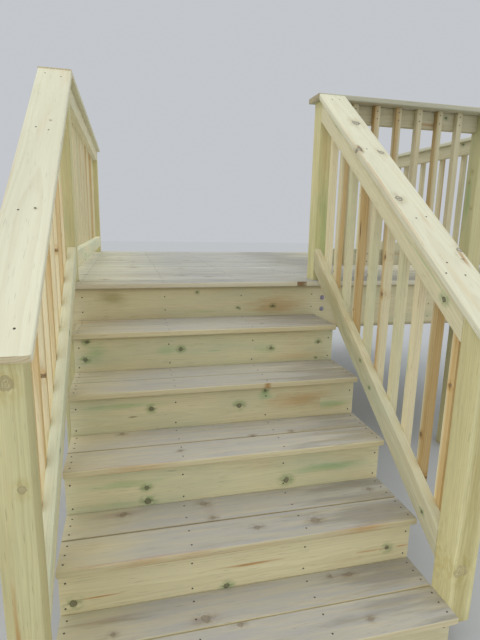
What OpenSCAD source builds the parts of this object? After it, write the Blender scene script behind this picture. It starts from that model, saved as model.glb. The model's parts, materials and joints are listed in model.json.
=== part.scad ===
// Timber deck with a straight flight of five treads and baluster guards.
// X runs along the treads, Y runs up the flight towards the wall, Z is up.
// Sizes are laid out from the left end of the first nosing at ground level,
// then shifted so that the origin lies on the ground under the middle.

/* [Flight] */
// Length of a tread, which is also the clear width between the newels
tread_len = 1219.2; // [900:0.1:1500]
// Height from one tread to the next
rise = 182.5; // [150:0.1:195]
// Depth from one riser to the next
run = 249; // [235:0.1:265]
// Number of treads below the deck
tread_count = 5; // [3:1:5]
// Thickness of a riser board
riser_t = 19.05; // [15:0.05:25.4]
// Depth of a stringer plank before it is notched
stringer_depth = 285.75; // [235:0.05:300]

/* [Deck] */
// Clear length along X between the side posts of the deck
deck_len = 2700; // [2600:0.5:3400]
// Number of deck boards from the front nosing to the wall
deck_board_count = 17; // [10:1:20]
// Depth of the rims and joists
joist_depth = 234.95; // [184:0.05:286]
// Gap between the last deck board and the wall
wall_gap = 3; // [0:0.5:10]
// Clearance of the deck boards round a post
post_clearance = 3; // [1:0.5:6]

/* [Boards] */
// Width of a tread, deck or cap board
board_w = 139.7; // [130:0.05:150]
// Thickness of a tread, deck or cap board
board_t = 25.4; // [22:0.05:32]
// Radius of the eased edges of those boards
ease_r = 6; // [2:0.5:9]
// Gap between neighbouring boards
board_gap = 3.2; // [2:0.1:8]
// Thickness of the framing timber and of the rails
plank_t = 38.1; // [35:0.05:45]
// Width of a rail
rail_w = 88.9; // [80:0.05:100]
// Side of a square post
post_w = 88.9; // [85:0.05:120]
// Side of a square baluster
baluster_w = 31.75; // [25:0.05:40]

/* [Guards] */
// Height from the nosing line to the top of a sloping cap
slope_cap_h = 900; // [850:0.5:905]
// Height from the nosing line to the lower edge of a sloping bottom rail
slope_rail_low = 6; // [3:0.1:60]
// Height from the deck to the top of a level cap
level_cap_h = 940; // [925:0.5:1070]
// Height from the deck to the lower edge of the bottom rail of a side guard
level_rail_low = 57; // [30:0.5:90]
// Height from the deck to the lower edge of the bottom rail of the front guard
front_rail_low = 75; // [30:0.5:100]
// Distance from the first nosing to the front of the newels
newel_setback = 51; // [40:0.5:70]
// Height of the foot of a newel above the ground
newel_foot_h = 106; // [20:1:150]
// How far a sloping cap runs past the front of its newel
cap_overrun = 14; // [0:0.5:30]
// Radius of the corners at the lower end of a sloping cap
cap_corner_r = 12; // [5:0.5:25]
// Clear gap between the balusters of a sloping guard
slope_gap = 83.7; // [70:0.1:101]
// Clear gap between the balusters of a level guard, set out from its first post
level_gap = 94.8; // [70:0.1:101]
// Distance along X from the left side posts to the middle post
middle_post_x = 2192; // [1900:0.5:2300]

/* [Hidden] */
$fn = 48;

// Slope of the flight
slope = rise / run;
rake = atan(slope);
tread_depth = 2 * board_w + board_gap;
// The back edge of a tread meets the next riser, which sets the overhang
nosing = tread_depth - run;

// Deck levels and the faces that its frame shares
deck_z = (tread_count + 1) * rise;
frame_top = deck_z - board_t;
frame_low = frame_top - joist_depth;
deck_y = tread_count * run;
rim_y = deck_y + nosing;
joist_y = rim_y + plank_t;
board_pitch = board_w + board_gap;
deck_end_y = deck_y + deck_board_count * board_pitch - board_gap;
wall_y = deck_end_y + wall_gap;
rear_rim_y = wall_y - plank_t;

// Posts stand inside the frame, which the deck boards overhang at the sides as in front
post_y = joist_y;
post_back_y = post_y + post_w;
wall_post_y = wall_y - post_w;
frame_x = -post_w - plank_t;
frame_end_x = deck_len - frame_x;
board_x = frame_x - nosing;
board_end_x = deck_len - board_x;
cut_w = post_w + 2 * post_clearance;
cut_spare = 1;

// Corner of each deck post that is nearest the left and the front, in plan
stair_left_foot = [-post_w, post_y];
stair_right_foot = [tread_len, post_y];
middle_foot = [middle_post_x, post_y];
corner_foot = [deck_len, post_y];
wall_left_foot = [-post_w, wall_post_y];
wall_right_foot = [deck_len, wall_post_y];
deck_feet = [stair_left_foot, stair_right_foot, middle_foot, corner_foot, wall_left_foot, wall_right_foot];

// Numbers of the deck boards that meet a post
notched_boards = [0, 1, deck_board_count - 1];

// Level guards
cap_under_z = deck_z + level_cap_h - board_t;
top_rail_z = cap_under_z - rail_w;
bottom_rail_z = deck_z + level_rail_low;
front_bottom_rail_z = deck_z + front_rail_low;
cap_lap = (board_w - post_w) / 2;
front_rail_y = post_back_y - plank_t;
front_bays = [
  [tread_len + post_w, middle_post_x],
  [middle_post_x + post_w, deck_len]
];

// Sloping guards, as heights of sloping lines at Y = 0
rail_v = rail_w / cos(rake);
cap_v = board_t / cos(rake);
slope_cap_under = rise + slope_cap_h - cap_v;
slope_top_rail = slope_cap_under - rail_v;
slope_bottom_rail = rise + slope_rail_low;
newel_y = newel_setback;
newel_back_y = newel_y + post_w;
level_cap_front = post_y - cap_lap;

// Sloping balusters at an even pitch, centred between newel and post
slope_pitch = baluster_w + slope_gap;
slope_clear = post_y - newel_back_y;
slope_count = floor(slope_clear / slope_pitch);
slope_end_gap = (slope_clear - slope_count * slope_pitch + slope_gap) / 2;

// Colours of the timber as photographed
tread_tint = [0.72, 0.68, 0.63];
riser_tint = [0.71, 0.66, 0.45];
frame_tint = [0.55, 0.50, 0.36];
rail_tint = [0.82, 0.78, 0.58];
cap_tint = [0.88, 0.88, 0.74];
post_tint = [0.76, 0.73, 0.50];
baluster_tint = [0.79, 0.72, 0.50];

// Height of a sloping line at a distance along the flight
function on_slope(h0, y) = h0 + slope * y;

// Start of each baluster along a clear length, set out with an equal gap from one end
function spaced_starts(from, clear) =
  [for (i = [1 : floor(clear / (baluster_w + level_gap))]) from + i * level_gap + (i - 1) * baluster_w];

// Shifts the layout so that the origin lies on the ground under the middle
module on_site() {
  translate([-deck_len / 2, -wall_y / 2, 0])
    children();
}

// Rectangle with eased corners, standing on the X axis and centred on it
module eased_section(w, t, r) {
  translate([-w / 2, r])
    square([w, t - 2 * r]);
  translate([r - w / 2, 0])
    square([w - 2 * r, t]);
  for (x = [r - w / 2, w / 2 - r], y = [r, t - r])
    translate([x, y])
      circle(r);
}

// Eased board along X, its middle at y_mid and its underside at z
module board_along_x(x0, x1, y_mid, z) {
  translate([x0, y_mid, z])
    rotate([90, 0, 90])
      linear_extrude(x1 - x0)
        eased_section(board_w, board_t, ease_r);
}

// Eased board along Y, its middle at x_mid and its underside at z
module board_along_y(x_mid, y0, y1, z) {
  translate([x_mid, y1, z])
    rotate([90, 0, 0])
      linear_extrude(y1 - y0)
        eased_section(board_w, board_t, ease_r);
}

// Plate with a side outline in Y and Z, from x over a thickness t
module side_plate(x, t) {
  translate([x, 0, 0])
    rotate([90, 0, 90])
      linear_extrude(t)
        children();
}

// Outline between two plumb cuts and two sloping lines
module raked_outline(y0, y1, low, high) {
  polygon([
    [y0, on_slope(low, y0)],
    [y1, on_slope(low, y1)],
    [y1, on_slope(high, y1)],
    [y0, on_slope(high, y0)]
  ]);
}

// Plank notched for every tread and riser, with a foot and a plumb back cut
module stringer(x) {
  cut_y = nosing + riser_t;
  first_z = rise - board_t;
  low_line = first_z - slope * cut_y - stringer_depth / cos(rake);
  steps = [
    for (k = [1 : tread_count])
      for (p = [
        [(k - 1) * run + cut_y, k * rise - board_t],
        [k < tread_count ? k * run + cut_y : rim_y, k * rise - board_t]
      ]) p
  ];
  side_plate(x, plank_t)
    polygon(concat(
      [[cut_y, 0]],
      steps,
      [[rim_y, on_slope(low_line, rim_y)], [-low_line / slope, 0]]
    ));
}

// Riser board of step k, resting on the tread cut of the step below
module riser(k) {
  low = k > 1 ? (k - 1) * rise - board_t : 0;
  color(riser_tint)
    on_site()
      translate([0, (k - 1) * run + nosing, low])
        cube([tread_len, riser_t, k * rise - board_t - low]);
}

// Two eased boards side by side as tread k
module tread(k) {
  color(tread_tint)
    on_site()
      for (i = [0, 1])
        board_along_x(0, tread_len, (k - 1) * run + board_w / 2 + i * board_pitch, k * rise - board_t);
}

// Square post from the ground to the underside of the level cap
module post(foot) {
  color(post_tint)
    on_site()
      translate(foot)
        cube([post_w, post_w, cap_under_z]);
}

// Lower newel with its top cut to the rake under the sloping cap
module newel(x) {
  color(post_tint)
    on_site()
      side_plate(x, post_w)
        polygon([
          [newel_y, newel_foot_h],
          [newel_back_y, newel_foot_h],
          [newel_back_y, on_slope(slope_cap_under, newel_back_y)],
          [newel_y, on_slope(slope_cap_under, newel_y)]
        ]);
}

// Rail on edge between newel and upper post, plumb cut and level with the post top
module raked_rail(x, low) {
  color(rail_tint)
    on_site()
      side_plate(x, plank_t)
        intersection() {
          raked_outline(newel_back_y, post_y, low, low + rail_v);
          square([post_y, cap_under_z]);
        }
}

// Sloping cap with eased edges, rounded lower corners and a plumb upper cut
module raked_cap(x_mid) {
  start = (newel_y - cap_overrun) / cos(rake);
  finish = (level_cap_front + board_t) / cos(rake);
  color(cap_tint)
    on_site()
      intersection() {
        translate([x_mid, 0, slope_cap_under])
          rotate([rake, 0, 0])
            intersection() {
              board_along_y(0, start, finish, 0);
              translate([0, start, 0])
                linear_extrude(board_t)
                  cap_plan(finish - start);
            }
        translate([x_mid - board_w, 0, 0])
          cube([2 * board_w, level_cap_front, 2 * cap_under_z]);
      }
}

// Plan of a cap whose two corners at the start are rounded
module cap_plan(len) {
  translate([cap_corner_r - board_w / 2, 0])
    square([board_w - 2 * cap_corner_r, len]);
  translate([-board_w / 2, cap_corner_r])
    square([board_w, len - cap_corner_r]);
  for (x = [cap_corner_r - board_w / 2, board_w / 2 - cap_corner_r])
    translate([x, cap_corner_r])
      circle(cap_corner_r);
}

// Balusters of a sloping guard, both ends cut to the rake
module raked_balusters(x) {
  starts = [for (i = [0 : slope_count - 1]) newel_back_y + slope_end_gap + i * slope_pitch];
  color(baluster_tint)
    on_site()
      for (y = starts)
        side_plate(x, baluster_w)
          raked_outline(y, y + baluster_w, slope_bottom_rail, slope_cap_under);
}

// Rail on edge along Y between a front post and the post at the wall
module side_rail(x, z) {
  color(rail_tint)
    on_site()
      translate([x, post_back_y, z])
        cube([plank_t, wall_post_y - post_back_y, rail_w]);
}

// Balusters along Y on the outer face of a side rail
module side_balusters(x) {
  color(baluster_tint)
    on_site()
      for (y = spaced_starts(post_back_y, wall_post_y - post_back_y))
        translate([x, y, bottom_rail_z])
          cube([baluster_w, baluster_w, cap_under_z - bottom_rail_z]);
}

// Cap along Y from the front of the guard to the wall
module side_cap(x_mid) {
  color(cap_tint)
    on_site()
      board_along_y(x_mid, level_cap_front, wall_y, cap_under_z);
}

// Rails on edge along X, one piece in each bay of the front guard
module front_rail(z) {
  color(rail_tint)
    on_site()
      for (bay = front_bays)
        translate([bay[0], front_rail_y, z])
          cube([bay[1] - bay[0], plank_t, rail_w]);
}

module stringer_left() {
  color(frame_tint) on_site() stringer(0);
}

module stringer_right() {
  color(frame_tint) on_site() stringer(tread_len - plank_t);
}

// Two stringers that share the tread length evenly with the outer ones
module stringers_inner() {
  color(frame_tint)
    on_site()
      for (i = [1, 2])
        stringer(i * (tread_len - plank_t) / 3);
}

// Front board of the deck frame, which also closes the top step
module rim_front() {
  color(riser_tint)
    on_site()
      translate([frame_x, rim_y, frame_low])
        cube([frame_end_x - frame_x, plank_t, joist_depth]);
}

// Rear board of the deck frame, flat against the wall between the wall posts
module rim_rear() {
  color(frame_tint)
    on_site()
      translate([0, rear_rim_y, frame_low])
        cube([deck_len, plank_t, joist_depth]);
}

// Joist from the front rim back to a plane across the deck
module joist(x, back_y) {
  translate([x, joist_y, frame_low])
    cube([plank_t, back_y - joist_y, joist_depth]);
}

// Joists between the rims, one beside each post, and one along each side outside the posts
module joists() {
  stair_x = tread_len - plank_t;
  middle_x = middle_post_x + post_w;
  starts = concat(
    [for (i = [0 : 3]) i * stair_x / 3],
    [for (i = [1 : 3]) stair_x + i * (middle_x - stair_x) / 3],
    [deck_len - plank_t]
  );
  color(frame_tint)
    on_site() {
      for (x = starts)
        joist(x, rear_rim_y);
      for (x = [frame_x, frame_end_x - plank_t])
        joist(x, wall_y);
    }
}

// Deck boards along X with the given numbers from the front, cut round the posts
module deck_run(numbers) {
  color(tread_tint)
    on_site()
      difference() {
        for (i = numbers)
          board_along_x(board_x, board_end_x, deck_y + board_w / 2 + i * board_pitch, frame_top);
        for (foot = deck_feet)
          translate([foot[0] - post_clearance, foot[1] - post_clearance, frame_top - cut_spare])
            cube([cut_w, cut_w, board_t + 2 * cut_spare]);
      }
}

module deck_boards() {
  deck_run([2 : deck_board_count - 2]);
}

module deck_boards_notched() {
  deck_run(notched_boards);
}

// Cap over the front guard, from the stair post to the side cap
module front_cap() {
  color(cap_tint)
    on_site()
      board_along_x(tread_len - cap_lap, deck_len - cap_lap, post_y + post_w / 2, cap_under_z);
}

// Balusters along X on the front face of the front rails
module front_balusters() {
  color(baluster_tint)
    on_site()
      for (bay = front_bays, x = spaced_starts(bay[0], bay[1] - bay[0]))
        translate([x, front_rail_y - baluster_w, front_bottom_rail_z])
          cube([baluster_w, baluster_w, cap_under_z - front_bottom_rail_z]);
}

stringer_left();
stringer_right();
stringers_inner();
riser(1);  // riser_1
riser(2);  // riser_2
riser(3);  // riser_3
riser(4);  // riser_4
riser(5);  // riser_5
tread(1);  // tread_1
tread(2);  // tread_2
tread(3);  // tread_3
tread(4);  // tread_4
tread(5);  // tread_5
rim_front();
rim_rear();
joists();
deck_boards();
deck_boards_notched();
newel(-post_w);  // newel_left
newel(tread_len);  // newel_right
post(stair_left_foot);  // post_stair_left
post(stair_right_foot);  // post_stair_right
post(middle_foot);  // post_middle
post(corner_foot);  // post_corner
post(wall_left_foot);  // post_wall_left
post(wall_right_foot);  // post_wall_right
raked_rail(-plank_t, slope_bottom_rail);  // left_bottom_rail
raked_rail(-plank_t, slope_top_rail);  // left_top_rail
raked_cap(-post_w / 2);  // left_cap
raked_balusters(-plank_t - baluster_w);  // left_balusters
raked_rail(tread_len, slope_bottom_rail);  // right_bottom_rail
raked_rail(tread_len, slope_top_rail);  // right_top_rail
raked_cap(tread_len + post_w / 2);  // right_cap
raked_balusters(tread_len + plank_t);  // right_balusters
side_rail(-plank_t, bottom_rail_z);  // landing_bottom_rail
side_rail(-plank_t, top_rail_z);  // landing_top_rail
side_cap(-post_w / 2);  // landing_cap
side_balusters(-plank_t - baluster_w);  // landing_balusters
front_rail(front_bottom_rail_z);  // front_bottom_rail
front_rail(top_rail_z);  // front_top_rail
front_cap();
front_balusters();
side_rail(deck_len, bottom_rail_z);  // side_bottom_rail
side_rail(deck_len, top_rail_z);  // side_top_rail
side_cap(deck_len + post_w / 2);
side_balusters(deck_len + plank_t);
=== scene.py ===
import json
import math
import random

import bmesh
import bpy
from mathutils import Matrix, Vector


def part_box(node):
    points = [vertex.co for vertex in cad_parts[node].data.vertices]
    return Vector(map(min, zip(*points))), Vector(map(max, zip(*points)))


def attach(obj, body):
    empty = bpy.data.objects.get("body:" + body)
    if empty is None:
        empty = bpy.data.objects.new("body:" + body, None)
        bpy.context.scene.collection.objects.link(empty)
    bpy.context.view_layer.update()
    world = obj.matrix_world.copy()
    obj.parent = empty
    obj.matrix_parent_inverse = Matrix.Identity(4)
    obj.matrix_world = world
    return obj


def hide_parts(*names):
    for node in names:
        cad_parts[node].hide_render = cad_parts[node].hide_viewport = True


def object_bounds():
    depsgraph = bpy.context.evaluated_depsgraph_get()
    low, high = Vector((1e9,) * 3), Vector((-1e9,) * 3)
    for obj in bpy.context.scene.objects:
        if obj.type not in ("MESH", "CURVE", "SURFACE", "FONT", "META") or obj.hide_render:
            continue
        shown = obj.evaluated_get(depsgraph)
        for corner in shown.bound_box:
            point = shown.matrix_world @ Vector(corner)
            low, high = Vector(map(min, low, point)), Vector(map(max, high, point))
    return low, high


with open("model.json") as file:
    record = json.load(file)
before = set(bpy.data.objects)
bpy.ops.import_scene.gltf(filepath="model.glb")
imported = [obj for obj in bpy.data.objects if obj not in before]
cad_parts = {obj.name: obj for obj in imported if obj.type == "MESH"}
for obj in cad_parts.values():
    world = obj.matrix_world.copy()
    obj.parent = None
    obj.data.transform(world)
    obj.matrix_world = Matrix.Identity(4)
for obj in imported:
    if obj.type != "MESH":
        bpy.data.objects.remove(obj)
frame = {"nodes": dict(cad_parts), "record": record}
cad_low, cad_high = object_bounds()

# The photograph's camera: its focal length in the photograph's pixels, its place in metres, its
# angles in radians, and the longer side of its sensor in millimetres
PHOTO_HEIGHT = 640
FOCAL_PIXELS = 460.7
CAMERA_PLACE = (-1.1180, -2.8620, 1.3907)
CAMERA_YAW, CAMERA_PITCH, CAMERA_ROLL = 0.24384, 0.20750, -0.02027
SENSOR = 36.0
CLIP_START, CLIP_END = 0.05, 100

# The light, and the plain background that shows instead of the sky. The floor has one colour
# for the light that it throws back, and one for how it looks.
SKY_COLOUR, SKY_STRENGTH = (0.92, 0.96, 1.0, 1), 0.83
SUN_COLOUR, SUN_STRENGTH = (1.0, 0.97, 0.90), 0.73
SUN_WIDTH = math.radians(60)
TO_SUN = (-0.34, -0.14, 1.0)
BACKGROUND = (0.55, 0.57, 0.60, 1)
FLOOR_LIT, FLOOR_SEEN = (0.66, 0.66, 0.66), (0.52, 0.53, 0.54)
FLOOR_SIZE, FLOOR_ROUGHNESS = 60, 0.9

# Boards, in metres: the widest slices and strips that they are cut into, how far they stay
# inside the CAD model's box, and the most that they bow and crook
MM = 0.001
SLICE, STRIP = 0.055, 0.045
BOX_MARGIN = 0.0005
BOW, CROOK = 0.0006, 0.0007

# How much an edge bends at least to be kept, to be eased, and to be shaded as sharp
FLAT_BEND, SAWN_BEND, SHARP_BEND = math.radians(1), math.radians(28), math.radians(35)

# Fasteners: sizes in metres, how far in the lobes of a screw's star come, and numbers of sides
SCREW_RADIUS, SCREW_PROUD, SCATTER = 0.0033, 0.0004, 0.003
BOLT_RADIUS, BOLT_PROUD = 0.0125, 0.0050
NUT_RADIUS, NUT_HEIGHT = 0.0095, 0.0080
WASHER_RADIUS, WASHER_HEIGHT = 0.0140, 0.0020
BOLT_END_RADIUS, BOLT_END_PROUD = NUT_RADIUS * 0.5, 0.004
STAR_INSET = 0.55
SCREW_SIDES, NUT_SIDES, BOLT_SIDES, BOLT_END_SIDES = 12, 6, 20, 12

X, Y, Z = Vector((1, 0, 0)), Vector((0, 1, 0)), Vector((0, 0, 1))


def middle(node):
    """The middle of a node's box."""
    low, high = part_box(node)
    return (low + high) / 2


# One step and the rake of the flight, its middle line, and the top of the deck
STEP = middle("tread_2") - middle("tread_1")
RAKE = Vector((0, STEP.y, STEP.z)).normalized()
STAIR_X = middle("tread_1").x
DECK_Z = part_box("deck_boards")[1].z

# Nodes that are alike
FLIGHT_GUARDS = ("left", "right")
GUARDS = (*FLIGHT_GUARDS, "landing", "front", "side")
TREADS = [f"tread_{n}" for n in range(1, 6)]
RISERS = [f"riser_{n}" for n in range(1, 6)]
STRINGERS = ("stringer_left", "stringers_inner", "stringer_right")
DECKING = ("deck_boards", "deck_boards_notched")


def grain_axis(node):
    """The direction in which the boards of a node run."""
    if node.startswith("stringer"):
        return RAKE
    if node.endswith("balusters") or node.startswith(("post", "newel")):
        return Z
    if node.startswith(FLIGHT_GUARDS):
        return RAKE
    if node.startswith(("landing", "side", "joists")):
        return Y
    return X


def show_axis(node):
    """For upright pieces, the direction across the face that shows best."""
    if node.endswith("balusters"):
        return X if node.startswith("front") else Y
    if node.startswith(("post_middle", "post_wall")):
        return Y
    if node.startswith(("post", "newel")):
        return X
    return None


class Tree:
    """Short words for making shader nodes. A socket or a number may stand for any input."""

    def __init__(self, owner):
        """Of a material or a world."""
        self.nodes, self.links = owner.node_tree.nodes, owner.node_tree.links

    def set(self, socket, value):
        if isinstance(value, bpy.types.NodeSocket):
            self.links.new(value, socket)
        elif value is not None:
            socket.default_value = value

    def add(self, kind, **settings):
        node = self.nodes.new("ShaderNode" + kind)
        for name, value in settings.items():
            setattr(node, name, value)
        return node

    def math(self, operation, a, b=None):
        node = self.add("Math", operation=operation)
        for socket, value in zip(node.inputs, (a, b)):
            self.set(socket, value)
        return node.outputs[0]

    def plus(self, a, b):
        return self.math("ADD", a, b)

    def minus(self, a, b):
        return self.math("SUBTRACT", a, b)

    def times(self, a, b):
        return self.math("MULTIPLY", a, b)

    def over(self, a, b):
        return self.math("DIVIDE", a, b)

    def size(self, a):
        return self.math("ABSOLUTE", a)

    def length(self, a, b):
        return self.math("SQRT", self.plus(self.times(a, a), self.times(b, b)))

    def step(self, value, low, high, result_low=0.0, result_high=1.0):
        node = self.add("MapRange", interpolation_type="SMOOTHSTEP", clamp=True)
        for socket, entry in zip(node.inputs, (value, low, high, result_low, result_high)):
            self.set(socket, entry)
        return node.outputs[0]

    def split(self, vector):
        node = self.add("SeparateXYZ")
        self.links.new(vector, node.inputs[0])
        return node.outputs

    def attribute(self, name):
        return self.split(self.add("Attribute", attribute_name=name).outputs["Vector"])

    def join(self, x, y, z):
        node = self.add("CombineXYZ")
        for socket, value in zip(node.inputs, (x, y, z)):
            self.set(socket, value)
        return node.outputs[0]

    def noise(self, place, scale, detail=2.0, roughness=0.5):
        """Noise from 0 to 1 with its own scale along each of the three directions."""
        scaled = self.add("VectorMath", operation="MULTIPLY")
        self.set(scaled.inputs[0], place)
        scaled.inputs[1].default_value = scale
        node = self.add("TexNoise")
        self.links.new(scaled.outputs[0], node.inputs["Vector"])
        node.inputs["Scale"].default_value = 1.0
        node.inputs["Detail"].default_value = detail
        node.inputs["Roughness"].default_value = roughness
        return node.outputs["Fac"]

    def drift(self, place, scale, reach, detail=2.0):
        """Noise that swings about zero by a reach to each side."""
        return self.times(self.minus(self.noise(place, scale, detail), 0.5), 2 * reach)

    def mix(self, share, a, b, blend="MIX"):
        node = self.add("Mix", data_type="RGBA", blend_type=blend)
        self.set(node.inputs[0], share)
        # The sockets for colours come after those for numbers and vectors
        for socket, value in ((node.inputs[6], a), (node.inputs[7], b)):
            self.set(socket, (*value, 1.0) if isinstance(value, tuple) else value)
        return node.outputs[2]


# Looks of knots: the halo's tint, the light and dark rings, and how strongly the knot and the
# dark wings beside it show
GREEN_KNOT = ((0.46, 0.62, 0.44), (0.27, 0.25, 0.15), (0.090, 0.080, 0.050), 0.84, 0.38)
BROWN_KNOT = ((0.70, 0.64, 0.55), (0.36, 0.30, 0.22), (0.180, 0.145, 0.105), 0.58, 0.40)
PALE_KNOT = ((0.84, 0.81, 0.74), (0.62, 0.58, 0.44), (0.150, 0.125, 0.095), 0.90, 0.15)
RED_KNOT = ((0.80, 0.62, 0.44), (0.42, 0.29, 0.15), (0.150, 0.095, 0.050), 0.88, 0.45)
POST_KNOT = ((0.84, 0.78, 0.62), (0.58, 0.51, 0.28), (0.340, 0.270, 0.140), 0.70, 0.10)

# Tints of stains, of damp patches with painted shade towards the right of the treads and the
# deck, and of painted shade at risers and painted shade and dirt in joints, which darken the
# colour under them. The grey stain also paints shade on the right bottom rail.
GREEN_STAIN, GREY_STAIN_AND_SHADE = (0.66, 0.86, 0.72), (0.72, 0.69, 0.58)
TAN_STAIN, BLACK_STAIN = (0.80, 0.52, 0.32), (0.16, 0.12, 0.09)
DAMP_AND_SHADE, SHADE_AND_DIRT = (0.70, 0.68, 0.64), (0.40, 0.34, 0.27)

# Colours of the early and the late wood, in the heartwood and on sawn ends
HEARTWOOD = ((0.64, 0.42, 0.16), (0.512, 0.336, 0.128))
END_GRAIN = ((0.70, 0.58, 0.35), (0.48, 0.34, 0.17))

# Wear of the treads and of the deck: its colour, the middle of the way that feet take, and how
# far to each side of it the wear is full and reaches at all, in metres
TREAD_WEAR = ((0.445, 0.435, 0.415), STAIR_X + 0.12, 0.36, 0.86)
DECK_WEAR = ((0.415, 0.415, 0.405), STAIR_X + 0.50, 0.45, 1.20)

# The surface of sawn timber: its gloss, and how strong and how deep its bump is
GLOSS = 0.25
BUMP_STRENGTH, BUMP_DEPTH = 0.55, 0.0012


def growth(t, place, along, bent, deep, pith, pitch):
    """Growth rings: the distance from a pith that leans a little off the board, and the late wood."""
    pith_across, pith_deep, pith_tilt = pith
    pith_below = t.minus(t.minus(deep, pith_deep), t.times(pith_tilt, along))
    far = t.length(t.minus(bent, pith_across), pith_below)

    # The trunk is uneven, in long waves and in short ones
    far = t.plus(far, t.drift(place, (1.1, 7.0, 7.0), 0.015))
    far = t.plus(far, t.drift(place, (6.0, 26.0, 26.0), 0.0018))

    # Late wood darkens slowly through each ring and ends at once, more strongly in some years
    ring = t.math("FRACT", t.over(far, pitch))
    late = t.times(t.step(ring, 0.25, 0.88), t.step(ring, 0.90, 1.0, 1.0, 0.0))
    year = t.noise(t.join(far, 0.0, 0.0), (70.0, 1.0, 1.0), 1.0)
    return far, t.times(late, t.step(year, 0.25, 0.75, 0.30, 1.0))


def knotted(t, colour, place, knot, look):
    """A knot: a dark rim round rings of its own, a stained halo, and dark wings along the grain.

    All distances are in radii of the knot.
    """
    knot_along, knot_across = knot
    stain, core_light, core_dark, strength, winged = look
    near = t.plus(t.length(knot_along, knot_across), t.drift(place, (60.0, 60.0, 60.0), 0.60))
    near = t.plus(near, t.drift(place, (240.0, 240.0, 240.0), 0.16))

    cloudy = t.step(t.noise(place, (38.0, 52.0, 52.0), 3.0), 0.36, 0.60, 0.15, 1.0)
    stretched = t.length(t.over(knot_along, 1.3), knot_across)
    halo = t.times(t.step(stretched, 0.8, 3.4, strength, 0.0), cloudy)
    colour = t.mix(halo, colour, stain, "MULTIPLY")

    beside = t.step(t.size(knot_across), 0.10, 0.60, 1.0, 0.0)
    beyond = t.step(t.size(knot_along), 0.8, 3.6, 0.8, 0.0)
    colour = t.mix(t.times(t.times(beside, beyond), winged), colour, core_dark)

    ring = t.math("FRACT", t.times(near, 2.7))
    core = t.mix(t.step(ring, 0.2, 0.9), core_light, core_dark)
    colour = t.mix(t.step(near, 0.80, 1.06, strength, 0.0), colour, core)
    rim = t.times(t.step(near, 0.66, 0.92), t.step(near, 0.96, 1.18, 1.0, 0.0))
    return t.mix(t.times(rim, strength * 0.7), colour, core_dark), rim


def marked(t, colour, place, mark):
    """A stain along the grain: 1 is green, 2 damp grey, which on the right bottom rail is painted shade, -1
    tan and -2 nearly black.
    """
    mark_along, mark_across, kind = mark
    far = t.plus(t.length(mark_along, mark_across), t.drift(place, (9.0, 60.0, 60.0), 0.50, 3.0))
    share = t.times(t.step(far, 0.05, 1.0, 1.0, 0.0), t.step(t.size(kind), 0.0, 1.0))
    brown = t.mix(t.step(kind, -2.0, -1.0), BLACK_STAIN, TAN_STAIN)
    green = t.mix(t.step(kind, 1.0, 2.0), GREEN_STAIN, GREY_STAIN_AND_SHADE)
    return t.mix(share, colour, t.mix(t.step(kind, -0.05, 0.05), brown, green), "MULTIPLY")


def walked(t, colour, place, worn):
    """Grey wear on the upward faces, where feet fall: its colour, middle, and full and last reach."""
    worn_colour, worn_middle, full, last = worn
    geometry = t.add("NewGeometry")
    rightward = t.minus(t.split(geometry.outputs["Position"])[0], worn_middle)
    aside = t.plus(t.size(rightward), t.drift(place, (3.0, 9.0, 9.0), 0.22, 3.0))
    flat = t.step(t.split(geometry.outputs["Normal"])[2], 0.55, 0.92)
    share = t.times(t.step(aside, full, last, 1.0, 0.0), flat)
    rubbed = t.step(t.noise(place, (4.0, 60.0, 60.0), 4.0, 0.65), 0.25, 0.70, 0.50, 0.97)
    colour = t.mix(t.times(share, rubbed), colour, worn_colour)

    # Damp patches, and more grey towards the right, which is painted shade of the right guard
    damp_and_shade = t.plus(t.noise(place, (2.6, 26.0, 26.0), 4.0, 0.6), t.step(rightward, -0.05, 0.43, 0.0, 0.25))
    damp_and_shade = t.times(t.step(damp_and_shade, 0.54, 0.80, 0.0, 0.85), flat)
    return t.mix(damp_and_shade, colour, DAMP_AND_SHADE, "MULTIPLY")


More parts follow.
